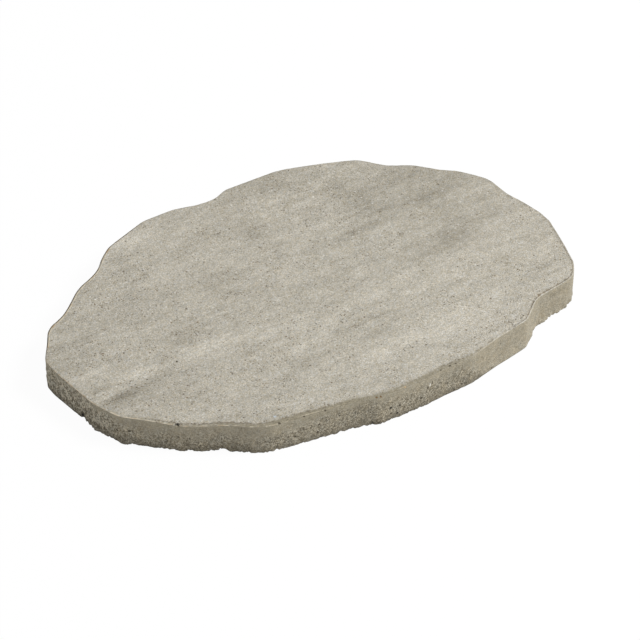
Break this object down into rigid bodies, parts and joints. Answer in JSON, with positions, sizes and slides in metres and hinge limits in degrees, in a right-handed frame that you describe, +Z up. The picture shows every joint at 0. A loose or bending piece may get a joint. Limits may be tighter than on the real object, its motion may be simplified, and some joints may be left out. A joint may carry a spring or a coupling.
{
  "type": "garden stepping stone",
  "caption": "Flat garden stepping stone of pressed concrete with a wandering flagstone outline, a gently cleft walking face, a rolled upper edge and a flat bed.",
  "frame": {"origin": "middle of the bed, the flat underside that lies on the ground", "axes": "+X along the length of the slab, +Y across its width, +Z up out of the walking face"},
  "size_m": [0.6, 0.4, 0.0406],
  "materials": {
    "concrete": "rough, sandy, unsealed grey-beige pressed concrete"
  },
  "bodies": {
    "root": {"stepping_stone": "concrete"}
  },
  "joints": []
}
